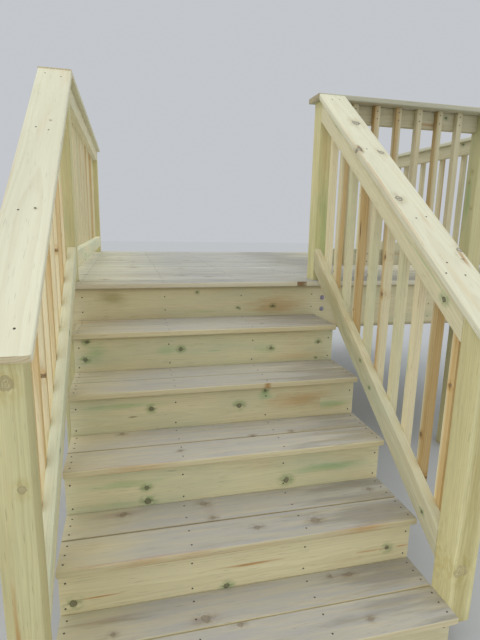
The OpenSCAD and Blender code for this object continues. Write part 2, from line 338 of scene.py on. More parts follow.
def wood(name, early, late, contrast, green, knot_look=GREEN_KNOT, worn=None, grit=1.0):
    """Sawn treated pine: growth rings, heartwood, knots, fibres, stains and end grain."""
    material = bpy.data.materials.new(name)
    material.use_nodes = True
    t = Tree(material)
    along, across, deep = t.attribute("grain")
    greenness, heart_radius, brightness = t.attribute("tone")
    knot_along, knot_across, knot_radius = t.attribute("knot")
    endwise, ring_pitch, shade_and_dirt = t.attribute("saw")
    place = t.join(along, across, deep)

    # The fibres part round a knot, and close again further along the board
    knot_far = t.length(t.over(knot_along, 2.0), knot_across)
    parting = t.over(1.0, t.plus(1.0, t.math("POWER", knot_far, 3.0)))
    parting = t.times(parting, t.step(knot_far, 3.0, 5.5, 1.0, 0.0))
    bent = t.minus(across, t.times(t.times(knot_across, knot_radius), parting))
    from_pith, late_part = growth(t, place, along, bent, deep, t.attribute("pith"), ring_pitch)

    # Fibres and short resin streaks
    lines = t.join(along, bent, deep)
    fibre = t.noise(lines, (9.0, 620.0, 620.0), 2.0, 0.6)
    streak = t.noise(lines, (5.0, 170.0, 170.0), 3.0, 0.55)
    fleck = t.step(t.noise(lines, (15.0, 250.0, 250.0), 1.0), 0.66, 0.76)
    colour = t.mix(t.times(late_part, contrast), early, late)
    colour = t.mix(t.step(streak, 0.35, 0.75, 0.0, 0.24 * grit), colour, late)

    # Heartwood lies round the pith, and in faint clouds elsewhere
    edge = t.plus(from_pith, t.drift(place, (1.5, 40.0, 40.0), 0.006))
    hearted = t.step(t.minus(heart_radius, edge), -0.006, 0.008, 0.0, 0.92)
    hearted = t.times(hearted, t.step(t.noise(place, (2.2, 60.0, 60.0), 3.0), 0.25, 0.70, 0.72, 1.0))
    hearted = t.plus(hearted, t.step(t.noise(place, (1.6, 14.0, 14.0), 2.0), 0.56, 0.95, 0.0, 0.7))
    colour = t.mix(hearted, colour, t.mix(late_part, *HEARTWOOD))

    # The preservative leaves green patches
    patch = t.plus(greenness, t.drift(place, (2.4, 11.0, 11.0), 0.85, 3.0))
    colour = t.mix(t.step(patch, 0.25, 1.15, 0.0, 0.80), colour, green)
    colour = marked(t, colour, place, t.attribute("mark"))
    if worn:
        colour = walked(t, colour, place, worn)
    colour, rim = knotted(t, colour, place, (knot_along, knot_across), knot_look)
    # Painted shade at the foot of each riser and under the nosing at its top, and painted shade and dirt in
    # the joints between floor boards
    colour = t.mix(t.step(shade_and_dirt, 0.35, 1.0, 0.0, 0.68), colour, SHADE_AND_DIRT, "MULTIPLY")

    # End grain is darker and warmer, and shows the rings as arcs
    end = t.step(endwise, 0.60, 0.90, 0.0, 0.75)
    colour = t.mix(end, colour, t.mix(late_part, *END_GRAIN))

    # Light and dark by fibre, by fleck, in wide clouds and by board. A board's brightness holds
    # the painted shade of the front and side guards.
    shade = t.step(fibre, 0.2, 0.8, 1.0 - 0.09 * grit, 1.0 + 0.06 * grit)
    shade = t.plus(shade, t.times(fleck, -0.12 - 0.10 * grit))
    shade = t.times(shade, t.step(t.noise(place, (0.9, 4.0, 4.0)), 0.2, 0.8, 0.93, 1.07))
    shade = t.times(shade, brightness)
    colour = t.mix(1.0, colour, t.join(shade, shade, shade), "MULTIPLY")

    shader = t.nodes["Principled BSDF"]
    t.set(shader.inputs["Base Color"], colour)
    t.set(shader.inputs["Roughness"], t.step(late_part, 0.0, 1.0, 0.74, 0.62))
    shader.inputs["Specular IOR Level"].default_value = GLOSS
    bump = t.add("Bump")
    bump.inputs["Strength"].default_value = BUMP_STRENGTH
    bump.inputs["Distance"].default_value = BUMP_DEPTH
    height = t.plus(t.times(late_part, 0.35), t.times(fibre, 0.45))
    height = t.plus(height, t.times(rim, -0.7))
    t.set(bump.inputs["Height"], t.minus(height, t.times(fleck, 0.5)))
    t.links.new(bump.outputs[0], shader.inputs["Normal"])
    return material


def metal(name, colour, rough, metallic):
    """Coated or galvanised steel with a mottled skin."""
    material = bpy.data.materials.new(name)
    material.use_nodes = True
    t = Tree(material)
    mottle = t.noise(t.add("TexCoord").outputs["Object"], (900.0, 900.0, 900.0), 3.0)
    dark = tuple(part * 0.6 for part in colour)
    shader = t.nodes["Principled BSDF"]
    t.set(shader.inputs["Base Color"], t.mix(t.step(mottle, 0.3, 0.7), colour, dark))
    t.set(shader.inputs["Roughness"], t.step(mottle, 0.3, 0.7, rough, rough + 0.2))
    shader.inputs["Metallic"].default_value = metallic
    return material


# The timber of each kind of board: its name, the colours of its early and late wood, how
# strongly its rings show, and the colour of its green patches. Less grit is a smoother face.
WOODS = {
    "cap": wood(
        "cap_wood", (0.79, 0.765, 0.58), (0.66, 0.61, 0.41), 0.40, (0.62, 0.66, 0.43),
        knot_look=PALE_KNOT, grit=0.5,
    ),
    "rail": wood("rail_wood", (0.81, 0.75, 0.51), (0.64, 0.54, 0.31), 0.42, (0.63, 0.67, 0.50)),
    "post": wood(
        "post_wood", (0.76, 0.70, 0.385), (0.60, 0.51, 0.25), 0.50, (0.52, 0.55, 0.30), knot_look=POST_KNOT,
    ),
    "baluster": wood(
        "baluster_wood", (0.82, 0.74, 0.49), (0.66, 0.54, 0.31), 0.45, (0.58, 0.61, 0.38), knot_look=RED_KNOT,
    ),
    "riser": wood("riser_wood", (0.72, 0.65, 0.415), (0.56, 0.48, 0.27), 0.36, (0.51, 0.55, 0.36), grit=0.8),
    "tread": wood(
        "tread_wood", (0.67, 0.59, 0.37), (0.51, 0.43, 0.25), 0.38, (0.48, 0.50, 0.33),
        knot_look=BROWN_KNOT, worn=TREAD_WEAR, grit=0.5,
    ),
    "deck": wood(
        "deck_wood", (0.76, 0.73, 0.56), (0.60, 0.55, 0.40), 0.28, (0.54, 0.57, 0.43),
        knot_look=BROWN_KNOT, worn=DECK_WEAR, grit=0.5,
    ),
    "framing": wood("framing_wood", (0.60, 0.54, 0.33), (0.45, 0.38, 0.20), 0.50, (0.38, 0.42, 0.24)),
}
SCREW_STEEL = metal("screw_coating", (0.12, 0.10, 0.075), 0.50, 0.3)
BOLT_STEEL = metal("galvanised_bolt", (0.42, 0.40, 0.50), 0.40, 0.7)


def slot_of(node):
    """The record's material slot of a node."""
    return next(part["material_slot"] for part in frame["record"]["subparts"] if part["node"] == node)


def wood_of(node):
    """The timber of a node."""
    return WOODS["deck" if node in DECKING else slot_of(node)]


# How wide the yearly rings of each kind of board are, and of any other
RING_PITCHES = {"cap": 0.0095, "rail": 0.0075, "tread": 0.0065, "riser": 0.0065}
OTHER_PITCH = 0.0055

# How far the sawn edges of each kind of board are eased, and of any other
EDGE_EASE = {"rail": 0.003, "post": 0.003, "baluster": 0.0016, "riser": 0.0012, "framing": 0.0025}
OTHER_EASE = 0.0008

# Boards that the lists below leave out get theirs by chance, from these ranges. A knot: how many
# for each metre, its place as shares of the board's length and width, the largest radius in
# metres and as a share of the width, and a share of that.
KNOTS_PER_METRE, KNOT_ALONG, KNOT_ACROSS = (0.3, 1.6), (0.04, 0.96), (-0.42, 0.42)
LARGEST_KNOT, LARGEST_SHARE, KNOT_SIZE = 0.015, 0.15, (0.35, 1.0)

# A stain: its place as a share of the width, its half length in metres, its half width as a
# share of the width, and its kind
MARK_ACROSS, MARK_LENGTH, MARK_WIDTH = (-0.4, 0.4), (0.08, 0.30), (0.05, 0.30)
MARK_KINDS = (0.7, 0.4, -0.4, -0.7)

# A tone: greenness, brightness, where the pith lies across and deep in metres, and the reach of
# a baluster's heartwood as a share of the way to the pith
GREENNESS, BRIGHTNESS, HEART_REACH = (0.0, 0.55), (0.95, 1.04), (0.5, 1.2)
PITH_ACROSS, PITH_DEEP, POST_PITH = (-0.05, 0.05), (0.03, 0.10), (-0.02, 0.02)

# Of every board: how much the pith leans in upright and in other boards, how far along the trunk
# it is cut in metres, and the width of its rings as a share of its kind's
UPRIGHT_LEAN, OTHER_LEAN = (-0.010, 0.010), (-0.035, 0.035)
TRUNK_SHIFT, PITCH_SHARE = (3, 60), (0.85, 1.25)

# Knots that the photograph shows: along the board from its left, near or lower end, across it
# from its middle to the right, towards the wall or upwards, and radius, all in millimetres. The
# first entry of each key is the node, and the second counts its boards from the front and then
# from the left. An empty entry is a board without knots.
KNOTS = {
    ("rim_front", 0): ((705, 90, 5), (1110, 10, 7), (920, 5, 5)),
    ("riser_5", 0): ((55, 70, 8), (45, -10, 9), (465, 20, 8), (900, 5, 8), (1145, 25, 7), (1135, -55, 4)),
    ("riser_4", 0): ((315, 25, 9), (685, 10, 10), (800, 70, 6)),
    ("riser_3", 0): ((280, 5, 8), (275, -25, 6), (285, -50, 11), (820, -30, 11)),
    ("riser_2", 0): ((1130, -15, 9), (40, -30, 11), (530, -60, 9)),
    ("riser_1", 0): ((300, 20, 9), (830, -10, 8)),
    ("tread_5", 0): ((870, 20, 6),),
    ("tread_4", 0): (),
    ("tread_3", 0): ((410, 5, 8),),
    ("tread_3", 1): ((195, 50, 9), (710, -65, 7), (880, -60, 7)),
    ("tread_2", 0): ((645, 5, 10), (855, 0, 14)),
    ("tread_2", 1): ((485, 35, 12), (505, -55, 9), (195, 30, 11), (1140, -5, 9)),
    ("tread_1", 0): ((945, -10, 8), (540, 60, 9)),
    ("tread_1", 1): ((965, 35, 10), (900, 40, 7), (440, -40, 14), (160, -35, 7)),
    ("deck_boards_notched", 0): (),
    ("right_cap", 0): (
        (1275, 15, 19), (1030, -60, 12), (1010, 35, 13), (665, -35, 14), (370, 60, 11), (330, 45, 10),
    ),
    ("left_cap", 0): ((1100, 20, 4), (545, 25, 3)),
    ("right_bottom_rail", 0): ((790, 20, 5), (660, 0, 5), (140, -5, 6)),
    ("right_top_rail", 0): ((150, -5, 9),),
    ("left_bottom_rail", 0): ((1000, 28, 6), (485, 28, 5)),
    ("right_balusters", 0): ((550, 0, 7),),
    ("right_balusters", 1): ((235, 5, 7), (70, -10, 8)),
    ("right_balusters", 4): ((600, 0, 7), (445, 0, 8)),
    ("left_balusters", 2): ((655, -10, 7),),
    ("left_balusters", 3): ((300, -10, 9),),
    ("left_balusters", 7): ((345, -10, 8),),
    ("newel_right", 0): ((200, -15, 22), (600, 15, 8)),
    ("newel_left", 0): ((655, 20, 10), (920, 5, 17)),
    ("post_middle", 0): ((1710, 0, 9), (1645, 15, 8), (1500, -20, 7)),
}

# Stains that the photograph shows: place as above, half length and half width in millimetres,
# and kind, which is 1 for green, 2 for damp grey, -1 for tan and -2 for nearly black. Kinds
# between them blend, and a kind nearer 0 is fainter.
MARKS = {
    ("rim_front", 0): ((290, 70, 100, 50, 1.8), (1120, 10, 200, 70, -0.55), (760, -10, 170, 12, 0.5)),
    ("riser_5", 0): (
        (90, 25, 65, 60, 0.75), (400, 20, 70, 32, 0.6), (860, 0, 60, 40, 0.4), (620, 5, 45, 4, 0.9),
    ),
    ("riser_4", 0): (
        (215, 45, 210, 18, 0.7), (800, 50, 45, 30, 1.0), (960, 15, 200, 60, -0.6),
        (1120, -15, 120, 26, 0.8), (240, -5, 28, 4, -1.6),
    ),
    ("riser_3", 0): ((1010, 5, 240, 26, 0.85), (200, 25, 170, 26, 0.7), (180, -50, 120, 14, 0.5)),
    ("riser_2", 0): (
        (620, 10, 190, 7, -1.3), (1050, -15, 90, 6, -1.0), (1190, -15, 45, 6, -1.0),
        (120, -20, 110, 6, -1.2), (530, -60, 45, 14, 1.0),
    ),
    ("tread_4", 0): ((490, -25, 90, 10, 0.5), (700, 50, 120, 10, 0.5), (800, -70, 24, 3, -1.3)),
    ("tread_3", 1): ((880, -50, 60, 8, -1.2), (300, 30, 120, 16, -0.5)),
    ("tread_2", 1): ((190, 30, 130, 26, -0.7), (500, 0, 34, 40, -0.8)),
    ("tread_1", 1): ((450, -40, 110, 16, -1.1), (965, 35, 110, 12, -0.9), (150, 20, 150, 16, -0.5)),
    ("tread_2", 0): ((300, -65, 320, 8, -0.8), (1000, -65, 200, 8, -0.9)),
    ("tread_3", 0): ((250, -65, 240, 8, -0.6),),
    ("deck_boards_notched", 0): ((1285, -70, 75, 14, -1.6), (0, -70, 2500, 12, -0.3)),
    ("right_cap", 0): (
        (330, 50, 60, 12, -1.3), (1030, -55, 45, 12, -1.6), (800, -65, 700, 7, -0.55), (540, 10, 90, 9, -0.4),
    ),
    ("left_cap", 0): ((600, -65, 700, 6, -0.3),),
    ("right_top_rail", 0): ((760, 25, 300, 5, 0.9), (300, 10, 260, 6, 0.7), (1280, 20, 160, 5, 0.6)),
    ("right_balusters", 6): ((530, -10, 62, 5, -2.0), (360, -10, 90, 6, -1.2)),
    ("post_stair_right", 0): ((1280, 5, 520, 70, 1.4),),
    ("newel_right", 0): ((520, 0, 2500, 46, 2.0),),
    # Painted shade on the upper end of this rail, under the cap and the top rail
    ("right_bottom_rail", 0): ((1150, 0, 750, 90, 2.0),),
}

# The guards behind the flight are darkened as painted shade, to this share of their brightness
SHADED, SHADED_BRIGHTNESS = ("front", "side"), 0.80

# How dark the painted shade is at the foot of a riser and under the nosing at its top, and the
# painted shade and dirt in the joints of the deck, where 1 is most, and the tread whose joint is
# left undarkened
FOOT_SHADE, TOP_SHADE, DECK_SHADE_AND_DIRT = 1.0, 0.85, 0.60
UNDARKENED_JOINTS = ("tread_1",)

# Boards whose tone the photograph shows: greenness, brightness, and in millimetres where the
# pith lies from the middle of the board, across it and deep, and how far the heartwood reaches
TONES = {
    ("right_balusters", 0): (0.0, 1.16, -60, 0, 70),
    ("right_balusters", 1): (0.0, 0.85, -45, 20, 64),
    ("right_balusters", 2): (0.2, 1.04, 50, 40, 0),
    ("right_balusters", 3): (0.5, 1.00, 60, 30, 40),
    ("right_balusters", 4): (0.3, 0.97, 40, -30, 46),
    ("right_balusters", 5): (0.7, 1.00, -50, 40, 0),
    ("right_balusters", 6): (0.0, 0.92, -40, 20, 60),
    ("right_balusters", 7): (0.7, 1.00, 60, 40, 0),
    ("right_balusters", 8): (0.2, 0.97, -30, 30, 42),
    ("right_balusters", 9): (0.2, 1.07, 50, 40, 0),
    ("left_cap", 0): (0.15, 1.01, 10, -95, 0),
    ("right_cap", 0): (-0.15, 1.01, -15, -105, 0),
    ("right_top_rail", 0): (0.0, 1.05, 30, 60, 0),
    ("right_bottom_rail", 0): (0.55, 0.93, 25, 50, 0),
    ("left_bottom_rail", 0): (0.75, 1.12, -20, 60, 0),
    **{("left_balusters", n): (0.1, 1.24, 40 - 10 * (n % 3), 20, 40) for n in range(10)},
    ("landing_bottom_rail", 0): (0.75, 1.18, -20, 60, 0),
    ("newel_right", 0): (0.12, 1.03, 20, 25, 0),
    ("newel_left", 0): (0.25, 0.93, -15, 30, 0),
    ("post_stair_right", 0): (0.20, 1.02, 10, 20, 0),
    ("post_stair_left", 0): (0.55, 1.00, 10, 20, 0),
    ("post_middle", 0): (0.55, 0.86, 25, -30, 0),
    ("deck_boards_notched", 0): (0.1, 0.89, 20, 40, 0),
    # Painted shade: the caps and top rails of the front and side guards are darkened
    ("front_cap", 0): (0.3, 0.70, 20, -60, 0),
    ("front_top_rail", 0): (0.3, 0.70, 30, 60, 0),
    ("side_cap", 0): (0.3, 0.78, 20, -60, 0),
    ("side_top_rail", 0): (0.3, 0.76, 30, 60, 0),
    ("riser_5", 0): (0.66, 1.03, 20, 60, 0),
    ("riser_4", 0): (0.50, 0.99, -10, 45, 0),
    ("riser_3", 0): (0.55, 1.13, 30, 60, 0),
    ("riser_2", 0): (0.0, 1.17, -20, 70, 0),
    ("rim_front", 0): (0.35, 0.95, 0, -60, 0),
}


def solids(node):
    """The separate boards of a CAD node, each as its points and faces, in order of place."""
    mesh = bmesh.new()
    mesh.from_mesh(frame["nodes"][node].data)
    bmesh.ops.remove_doubles(mesh, verts=mesh.verts, dist=1e-5)
    waiting, found = set(mesh.verts), []
    while waiting:
        reached, border = set(), [waiting.pop()]
        while border:
            point = border.pop()
            reached.add(point)
            neighbours = [edge.other_vert(point) for edge in point.link_edges]
            border += [other for other in neighbours if other not in reached]
        waiting -= reached
        ordered = sorted(reached, key=lambda vert: vert.index)
        number = {vert: i for i, vert in enumerate(ordered)}
        faces = sorted({face for vert in ordered for face in vert.link_faces}, key=lambda face: face.index)
        corners = [[number[vert] for vert in face.verts] for face in faces]
        found.append(([vert.co.copy() for vert in ordered], corners))
    mesh.free()
    return sorted(found, key=lambda solid: lowest_corner(solid[0]))


def lowest_corner(points):
    """The lowest Y, X and Z of some points, to a tenth of a millimetre."""
    return tuple(round(min(point[axis] for point in points), 4) for axis in (1, 0, 2))


def knot_distance(knot, along, across):
    """How many of its radii a knot lies from a place."""
    knot_along, knot_across, radius = knot
    return math.hypot(along - knot_along, across - knot_across) / radius


def mark_distance(mark, along, across):
    """How many of its half sizes a stain lies from a place."""
    mark_along, mark_across, half_length, half_width = mark[:4]
    return math.hypot((along - mark_along) / half_length, (across - mark_across) / half_width)


class Board:
    """One sawn board: its mesh, its grain directions, its pith, knots and tone."""

    def __init__(self, node, number, points, faces, limits):
        self.node, self.number, self.limits = node, number, limits
        self.chance = chance = random.Random(f"{node} {number}")
        self.along = grain_axis(node)
        self.mesh = bmesh.new()
        made = [self.mesh.verts.new(p) for p in points]
        for face in faces:
            self.mesh.faces.new([made[i] for i in face])
        side = X if abs(self.along.x) < 0.5 else Y
        third = self.along.cross(side).normalized()
        wide = show_axis(node) or max((side, third), key=lambda axis: self.span(axis)[1] - self.span(axis)[0])
        self.across, self.deep = (side, third) if abs(wide.dot(side)) > 0.5 else (third, side)
        if self.across.z < -0.5 or self.across.y < -0.5:
            self.across = -self.across
        axes = (self.along, self.across, self.deep)
        spans = [self.span(axis) for axis in axes]
        self.low = [low for low, high in spans]
        self.high = [high for low, high in spans]
        self.middle = [(low + high) / 2 for low, high in spans]
        self.length, self.width = (high - low for low, high in spans[:2])
        self.centre = sum((axis * place for axis, place in zip(axes, self.middle)), Vector())
        self.bow = chance.uniform(-BOW, BOW)
        self.crook = chance.uniform(-CROOK, CROOK)
        self.turn = chance.uniform(0, math.tau)

    def span(self, direction):
        """The lowest and the highest place of the board along a direction."""
        reach = [vert.co.dot(direction) for vert in self.mesh.verts]
        return min(reach), max(reach)

    def ease(self):
        """Rounds the sawn edges, but not the edges that the CAD board has rounded already."""
        mesh = self.mesh
        bmesh.ops.dissolve_limit(mesh, angle_limit=FLAT_BEND, verts=mesh.verts, edges=mesh.edges)
        sawn = [e for e in mesh.edges if len(e.link_faces) == 2 and e.calc_face_angle(0) > SAWN_BEND]
        size = EDGE_EASE.get(slot_of(self.node), OTHER_EASE)
        bmesh.ops.bevel(
            mesh, geom=sawn, offset=size, segments=2, profile=0.5, affect="EDGES", clamp_overlap=True,
        )

    def cut(self):
        """Cuts the faces across and along, so that each small face can hold its nearest knot."""
        for axis, low, size, pitch in (
            (self.along, self.low[0], self.length, SLICE),
            (self.across, self.low[1], self.width, STRIP),
        ):
            count = math.ceil(size / pitch)
            for i in range(1, count):
                everything = [*self.mesh.verts, *self.mesh.edges, *self.mesh.faces]
                place = axis * (low + i * size / count)
                bmesh.ops.bisect_plane(self.mesh, geom=everything, plane_co=place, plane_no=axis)

    def bent(self, place):
        """Where a slight bow and crook take a point, held inside the box of the CAD node."""
        share = (place.dot(self.along) - self.low[0]) / self.length
        crook = self.crook * math.sin(math.tau * share + self.turn) * math.sin(math.pi * share)
        moved = place + self.deep * (self.bow * math.sin(math.pi * share)) + self.across * crook
        return Vector(min(max(c, a), b) for c, a, b in zip(moved, *self.limits))

    def at(self, along, across, outward):
        """A place on a wide face, from the low end and from the middle, and the way it faces."""
        facing = self.deep if self.deep.dot(outward) > 0 else -self.deep
        deep = max(self.low[2] * self.deep.dot(facing), self.high[2] * self.deep.dot(facing))
        place = self.along * (self.low[0] + along) + self.across * (self.middle[1] + across) + facing * deep
        return self.bent(place), facing

    def knots(self):
        """The knots that the photograph shows on this board, or a few at random."""
        listed = KNOTS.get((self.node, self.number))
        if listed is not None:
            return [
                (self.low[0] + along * MM, self.middle[1] + across * MM, radius * MM)
                for along, across, radius in listed
            ]
        chance = self.chance
        largest = min(LARGEST_KNOT, self.width * LARGEST_SHARE)
        count = int(self.length * chance.uniform(*KNOTS_PER_METRE))
        return [
            (
                self.low[0] + self.length * chance.uniform(*KNOT_ALONG),
                self.middle[1] + self.width * chance.uniform(*KNOT_ACROSS),
                largest * chance.uniform(*KNOT_SIZE),
            )
            for _ in range(count)
        ]

    def marks(self):
        """The stains that the photograph shows on this board, or one at random."""
        listed = MARKS.get((self.node, self.number))
        if listed is not None:
            return [
                (self.low[0] + along * MM, self.middle[1] + across * MM, long * MM, wide * MM, kind)
                for along, across, long, wide, kind in listed
            ]
        chance = self.chance
        return [(
            self.low[0] + self.length * chance.random(),
            self.middle[1] + self.width * chance.uniform(*MARK_ACROSS),
            chance.uniform(*MARK_LENGTH),
            self.width * chance.uniform(*MARK_WIDTH),
            chance.choice(MARK_KINDS),
        )]

    def tone(self):
        """Greenness, brightness, the pith's place across and deep, its lean, and the heartwood's reach."""
        chance, slot = self.chance, slot_of(self.node)
        lean = chance.uniform(*(UPRIGHT_LEAN if slot in ("post", "baluster") else OTHER_LEAN))
        listed = TONES.get((self.node, self.number))
        if listed:
            green, bright, across, deep, heart = listed
            return green, bright, across * MM, deep * MM, lean, heart * MM
        across = chance.uniform(*PITH_ACROSS)
        deep = chance.choice((-1, 1)) * chance.uniform(*PITH_DEEP)
        if slot == "post":
            # Posts are sawn round the pith
            across = chance.uniform(*POST_PITH)
            deep = chance.uniform(*POST_PITH)
        heart = math.hypot(across, deep) * chance.uniform(*HEART_REACH) if slot == "baluster" else 0.0
        # Painted shade darkens the other boards of the front and side guards
        shaded = SHADED_BRIGHTNESS if self.node.startswith(SHADED) else 1.0
        green = chance.uniform(*GREENNESS)
        return green, shaded * chance.uniform(*BRIGHTNESS), across, deep, lean, heart

    def painted_shade_and_dirt(self, face, vert):
        """Painted shade at the foot of a riser and under the nosing at its top, and painted shade and dirt in
        the joints between floor boards.
        """
        slot = slot_of(self.node)
        if slot == "riser" or self.node == "rim_front":
            height, near = vert.co.dot(self.across), 2 * EDGE_EASE[slot]
            if height < self.low[1] + near:
                return FOOT_SHADE
            return TOP_SHADE if height > self.high[1] - near else 0.0
        if slot != "tread" or self.node in UNDARKENED_JOINTS:
            return 0.0
        # A nosing has no joint: the front of a tread, and of the notched boards at the deck's edge
        sideways = face.normal.dot(self.across)
        if sideways < 0 and self.number == 0 and self.node != "deck_boards":
            return 0.0
        return abs(sideways) * (DECK_SHADE_AND_DIRT if self.node in DECKING else 1.0)

    def dress(self):
        """Writes the grain, pith, tone, knot and stain on each corner of the mesh.

        The last layer, saw, says how much a face is a sawn end, how wide the rings are, and how
        strong the painted shade at a riser and the painted shade and dirt in a joint are.
        """
        names = ("grain", "pith", "tone", "knot", "mark", "saw")
        layers = [self.mesh.loops.layers.float_vector.new(name) for name in names]
        green, bright, pith_across, pith_deep, lean, heart = self.tone()
        knots, marks = self.knots(), self.marks()
        # Each board is cut from a place of its own in the trunk
        shift = self.chance.uniform(*TRUNK_SHIFT)
        pitch = RING_PITCHES.get(slot_of(self.node), OTHER_PITCH) * self.chance.uniform(*PITCH_SHARE)
        # On a board without knots, the nearest one is out of sight
        nowhere = (self.low[0] - 5, self.middle[1], 0.005)
        for face in self.mesh.faces:
            centre = face.calc_center_median()
            place = (centre.dot(self.along), centre.dot(self.across))
            knot = min(knots, key=lambda knot: knot_distance(knot, *place), default=nowhere)
            mark = min(marks, key=lambda mark: mark_distance(mark, *place))
            for loop in face.loops:
                along, across, deep = (loop.vert.co.dot(v) for v in (self.along, self.across, self.deep))
                values = (
                    (along - self.middle[0] + shift, across - self.middle[1], deep - self.middle[2]),
                    (pith_across, pith_deep - lean * shift, lean),
                    (green, heart, bright),
                    ((along - knot[0]) / knot[2], (across - knot[1]) / knot[2], knot[2]),
                    ((along - mark[0]) / mark[2], (across - mark[1]) / mark[3], mark[4]),
                    (abs(face.normal.dot(self.along)), pitch, self.painted_shade_and_dirt(face, loop.vert)),
                )
                for layer, value in zip(layers, values):
                    loop[layer] = value

    def mesh_data(self):
        """Shapes the board and gives its finished mesh."""
        self.ease()
        self.cut()
        for vert in self.mesh.verts:
            vert.co = self.bent(vert.co)
        self.mesh.normal_update()
        self.dress()
        data = bpy.data.meshes.new(self.node)
        self.mesh.to_mesh(data)
        self.mesh.free()
        return data


def timber(node):
    """Replaces a CAD node by the same boards with eased edges, grain and knots."""
    low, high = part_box(node)
    foot = low.z
    low = Vector(max(a, b + BOX_MARGIN) for a, b in zip(low, cad_low))
    low.z = foot
    high = Vector(min(a, b - BOX_MARGIN) for a, b in zip(high, cad_high))
    whole = bmesh.new()
    boards = [Board(node, i, *solid, (low, high)) for i, solid in enumerate(solids(node))]
    for board in boards:
        whole.from_mesh(board.mesh_data())
    for face in whole.faces:
        face.smooth = True
    piece = piece_of(node + "_timber", whole, wood_of(node))
    piece.data.set_sharp_from_angle(angle=SHARP_BEND)
    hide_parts(node)
    return boards


def piece_of(name, mesh, material):
    """Makes a visible piece of a finished mesh."""
    data = bpy.data.meshes.new(name)
    mesh.to_mesh(data)
    mesh.free()
    piece = bpy.data.objects.new(name, data)
    bpy.context.scene.collection.objects.link(piece)
    data.materials.append(material)
    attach(piece, "root")
    return piece


def turned(mesh, place, facing, outline, sides, star=False):
    """A body turned about its facing: an outline of radius and height, closed at the top."""
    at = Matrix.Translation(place) @ facing.to_track_quat("Z", "Y").to_matrix().to_4x4()
    rings = []
    for number, (radius, height) in enumerate(outline):
        recess = star and number >= len(outline) - 2
        ring = []
        for i in range(sides):
            reach = radius * (STAR_INSET if recess and i % 3 == 0 else 1.0)
            angle = math.tau * i / sides
            point = Vector((reach * math.cos(angle), reach * math.sin(angle), height))
            ring.append(mesh.verts.new(at @ point))
        rings.append(ring)
    for lower, upper in zip(rings, rings[1:]):
        for i in range(sides):
            after = (i + 1) % sides
            mesh.faces.new((lower[i], lower[after], upper[after], upper[i]))
    mesh.faces.new(rings[-1])


def screw(mesh, place, facing):
    """A flat screw head, sunk almost flush, with a star-shaped recess."""
    radius, proud = SCREW_RADIUS, SCREW_PROUD
    head = ((radius, -proud), (radius, proud * 0.6), (radius * 0.9, proud))
    recess = ((radius * 0.45, proud), (radius * 0.40, proud * 0.2))
    turned(mesh, place, facing, head + recess, SCREW_SIDES, star=True)


def bolt(mesh, place, facing):
    """The domed head of a carriage bolt."""
    angles = [math.radians(angle) for angle in (0, 20, 40, 60, 78)]
    dome = [(BOLT_RADIUS * math.cos(angle), BOLT_PROUD * math.sin(angle)) for angle in angles]
    turned(mesh, place, facing, [(BOLT_RADIUS, -MM), *dome], BOLT_SIDES)


def nut(mesh, place, facing):
    """A washer and a hexagonal nut, with the end of the bolt."""
    washer, top = WASHER_HEIGHT, WASHER_HEIGHT + NUT_HEIGHT
    plate = ((WASHER_RADIUS, 0), (WASHER_RADIUS, washer * 0.8), (WASHER_RADIUS * 0.95, washer))
    block = ((NUT_RADIUS, washer), (NUT_RADIUS, washer + NUT_HEIGHT * 0.85), (NUT_RADIUS * 0.88, top))
    end = ((BOLT_END_RADIUS, top), (BOLT_END_RADIUS, top + BOLT_END_PROUD))
    turned(mesh, place, facing, plate, BOLT_SIDES)
    turned(mesh, place, facing, block, NUT_SIDES)
    turned(mesh, place, facing, end, BOLT_END_SIDES)


def scatter(chance, reach=SCATTER):
    """How far a hand-driven screw lies from its line."""
    return chance.uniform(-reach, reach)


def crossing_screws(mesh, boards, beams, offsets, outward, blocked=()):
    """Screws where boards that run along X cross beams, except under or in a post."""
    chance = random.Random(f"{boards[0].node} screws")
    for board in boards:
        for beam in beams:
            for offset in offsets:
                along = beam.centre.x - board.low[0] + scatter(chance)
                place, facing = board.at(along, offset + scatter(chance), outward)
                if not any(inside(place, post) for post in blocked):
                    screw(mesh, place, facing)


def inside(place, post):
    """Whether a place is within a post's plan, with a little to spare."""
    spare = 2 * SCREW_RADIUS
    low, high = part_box(post.node)
    return low.x - spare < place.x < high.x + spare and low.y - spare < place.y < high.y + spare


def rail_height(rail, place):
    """How high the middle line of a rail runs at a place."""
    start = rail.across * rail.middle[1] + rail.deep * rail.middle[2]
    level = 0 if abs(rail.along.x) > 0.5 else 1
    return (start + rail.along * ((place[level] - start[level]) / rail.along[level])).z


# How far the screws of a baluster lie below and above the middle of its rail
BALUSTER_LIFTS = (-0.019, 0.019)


def baluster_screws(mesh, guard, boards):
    """Two screws through each baluster into the upper rail and two into the lower."""
    chance = random.Random(f"{guard} screws")
    for rail in (boards[f"{guard}_bottom_rail"][0], boards[f"{guard}_top_rail"][0]):
        for baluster in boards[f"{guard}_balusters"]:
            outward = baluster.centre - rail.centre
            outward = Vector((0, outward.y, 0)) if guard == "front" else Vector((outward.x, 0, 0))
            middle_z = rail_height(rail, baluster.centre)
            for lift in BALUSTER_LIFTS:
                along = middle_z + lift + scatter(chance) - baluster.low[0]
                screw(mesh, *baluster.at(along, 0, outward))


# Screws of the sloping caps that the photograph shows, in millimetres as for the knots
CAP_SCREWS = {
    "right": ((255, -55), (305, -25), (245, 10)),
    "left": ((1525, -35), (1500, 30), (80, 25)),
}

# The other screws of a cap, in metres: how far apart the pairs lie along it, how far from its
# ends and from screws that are there already, where each pair's two lie across it, and how far
# they stray along it
CAP_PITCH, CAP_END, CAP_CLEAR, CAP_PAIR, CAP_STRAY = 0.45, 0.05, 0.2, (-0.022, 0.022), 0.015


